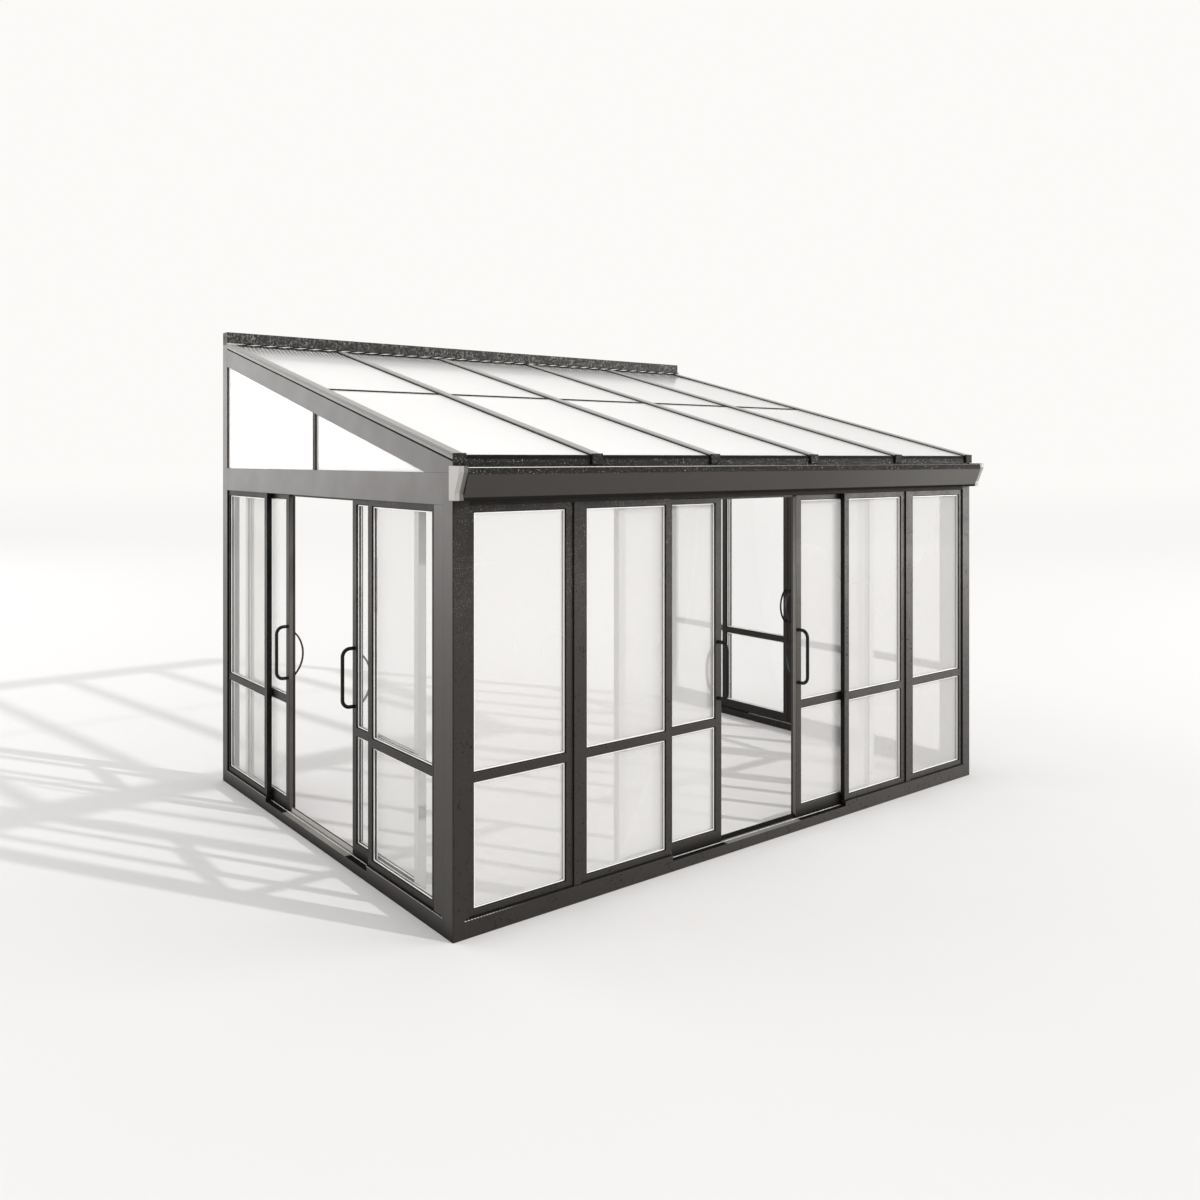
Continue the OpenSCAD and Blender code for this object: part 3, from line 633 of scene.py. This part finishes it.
def sloped(name, bars, material, ease=0.0):
    """A piece of bars that follow the roof: (x0, x1, y0, y1, low, high) over the glass."""
    boxes = [((x0, y0, low), (x1, y1, high)) for x0, x1, y0, y1, low, high in bars]
    made = solid(name, boxes, material, ease=ease)
    for vert in made.data.vertices:
        vert.co.z += foot_z + rise * (vert.co.y - front)
    return made


def washed(place, colour, gloss, grime_and_shade):
    """Rain keeps the bars clean, so they have no grime. Their outer flanks are darker."""
    flank_side = place.part(0).math("ABSOLUTE").math("GREATER_THAN", 2.2485)
    return flank_side.blend(colour, (0.12, 0.117, 0.112, 1)), 0.0, gloss, 0.0


caps = powder_coat("cap_paint", (0.36, 0.352, 0.34, 1), (0.48, 0.47, 0.455, 1), 0.42, 0.5, washed)
bars, strips = [], []
for bar in range(6):
    middle = -2.25 + 0.9 * bar
    left, right = max(middle - 0.03, -2.25), min(middle + 0.03, 2.25)
    if bar == 5:
        left = 2.19
    if bar == 0:
        right = -2.19
    bars.append((left, right, front, rear, 0.0, over))
    if bar:
        strips.append((left - 0.0100, left + 0.001, front + 0.004, rear - 0.001, -0.001, 0.0050))
    if bar < 5:
        strips.append((right - 0.001, right + 0.0040, front + 0.004, rear - 0.001, -0.001, 0.0030))
for x0, x1 in ((-2.25, -2.238), (2.238, 2.25)):
    bars.append((x0, x1, front, rear, -0.022, 0.001))
cap_bars = sloped("cap_bars", bars, caps, 0.003)
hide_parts("roof_caps")
sloped("cap_gaskets", strips, rubber)

# Eaves trim: a closing strip under the glass, a block over the end of each bar, and a low
# cross joint where two panes meet. Their coat is as rough as the wall plate's, but finer.
stone = powder_coat("eaves_paint", grey, fleck, 0.5, 1.0, mottled)
bars = [(-2.238, 2.238, front, front + 0.022, -0.030, 0.0)]
for bay in range(5):
    x0 = -2.19 if bay == 0 else -2.22 + 0.9 * bay
    x1 = 2.19 if bay == 4 else -1.38 + 0.9 * bay
    bars.append((x0, x1, front + 1.638, front + 1.662, 0.0, 0.006))
trim = sloped("eaves_strip", bars, stone, 0.0015)
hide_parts("roof_trim")
end_blocks = []
for bar in range(6):
    middle = min(max(-2.25 + 0.9 * bar, -2.217), 2.217)
    end_blocks.append(((middle - 0.037, front - 0.016, 2.367), (middle + 0.037, front, 2.428)))
trim = solid("end_blocks", end_blocks, stone, ease=0.003)
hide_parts("roof_trim")
strip_boxes = []
for bay in range(5):
    x0 = -2.25 + 0.9 * bay
    strip_boxes.append(((x0 + 0.036, front - 0.0008, 2.3985), (x0 + 0.864, front + 0.020, 2.4165)))
solid("strip_gasket", strip_boxes, rubber, ease=0.0005)


# Gutter: a folded ogee section hung on the head beam, mottled along its lip, with pale end
# caps a little higher than the run. Its own piece has the low lip that the photograph shows.
def gutter_wear_and_shade(place, colour, gloss, grime_and_shade):
    """Mottled along the lip. Painted sheen lightens it towards the right, painted shade makes it black below the
    fascia, and it is black at the right end.
    """
    rough, flat, dull, holes = mottled(place, colour, gloss, grime_and_shade)
    lip = place.part(2).between(2.318, 2.326)
    # Painted sheen: the coat goes lighter towards the right.
    colour = place.part(0).between(0.2, 2.1).blend(colour, (0.050, 0.047, 0.044, 1))
    # Painted shade: black below the fascia.
    foot_shade = 1 - place.part(2).between(2.205, 2.211)
    grime_and_shade = foot_shade.math("MAXIMUM", lip * holes).math("MAXIMUM", place.part(0).math("GREATER_THAN", 2.2195))
    return lip.blend(colour, rough), 0.0, lip.math("MULTIPLY", 0.2) + gloss, grime_and_shade


gutter_paint = powder_coat("gutter_paint", (0.016, 0.0135, 0.0115, 1), fleck, 0.44, 0.0, gutter_wear_and_shade)
section = [(0.0, 2.356), (0.0, 2.192), (-0.060, 2.192), (-0.060, 2.208), (-0.104, 2.323), (-0.104, 2.356),
           (-0.100, 2.356), (-0.100, 2.325), (-0.056, 2.210), (-0.056, 2.196), (-0.004, 2.196), (-0.004, 2.356)]
count = len(section)
mesh = bpy.data.meshes.new("gutter_run")
mesh.from_pydata([(x, front + y, z) for x in (-2.224, 2.224) for y, z in section], [],
                 [(i, (i + 1) % count, count + (i + 1) % count, count + i) for i in range(count)]
                 + [tuple(range(count)), tuple(range(count, 2 * count))])
shape = bmesh.new()
shape.from_mesh(mesh)
bmesh.ops.recalc_face_normals(shape, faces=shape.faces)
shape.to_mesh(mesh)
shape.free()
mesh.materials.append(gutter_paint)
run = bpy.data.objects.new("gutter_run", mesh)
bpy.context.scene.collection.objects.link(run)
bevel = run.modifiers.new("ease", "BEVEL")
bevel.width, bevel.segments, bevel.limit_method = 0.001, 2, "ANGLE"
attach(run, "structure")
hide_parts("gutter")
# Painted highlight: a thin bright line along the gutter lip, white at the left and fading to dark towards the right.
material, place = new_material("lip_highlight")
highlight_fade = place.part(0).between(-1.9, 0.7)
coat(place, Base_Color=highlight_fade.blend((0.90, 0.89, 0.87, 1), (0.03, 0.029, 0.028, 1)), Roughness=highlight_fade * 0.1 + 0.35)
solid("gutter_lip_highlight", [((-2.223, -1.7370, 2.3525), (2.223, -1.7335, 2.3575))], material)
ends = powder_coat("gutter_cap_paint", (0.30, 0.292, 0.28, 1), (0.38, 0.37, 0.35, 1), 0.4, 0.3)
dress(["gutter_caps"], ends, 0.002)

# The side and fill lamps give the metal its sheen and leave the wall glass out.
unlit = bpy.data.collections.new("unlit_glass")
for made in (side, fill):
    made.light_linking.receiver_collection = unlit
for name in parts.keys():
    if name.endswith("_glass") and name not in ("roof_glass", "gable_glass"):
        unlit.objects.link(parts[name])
for held in unlit.collection_objects:
    held.light_linking.link_state = "EXCLUDE"

lo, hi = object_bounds()
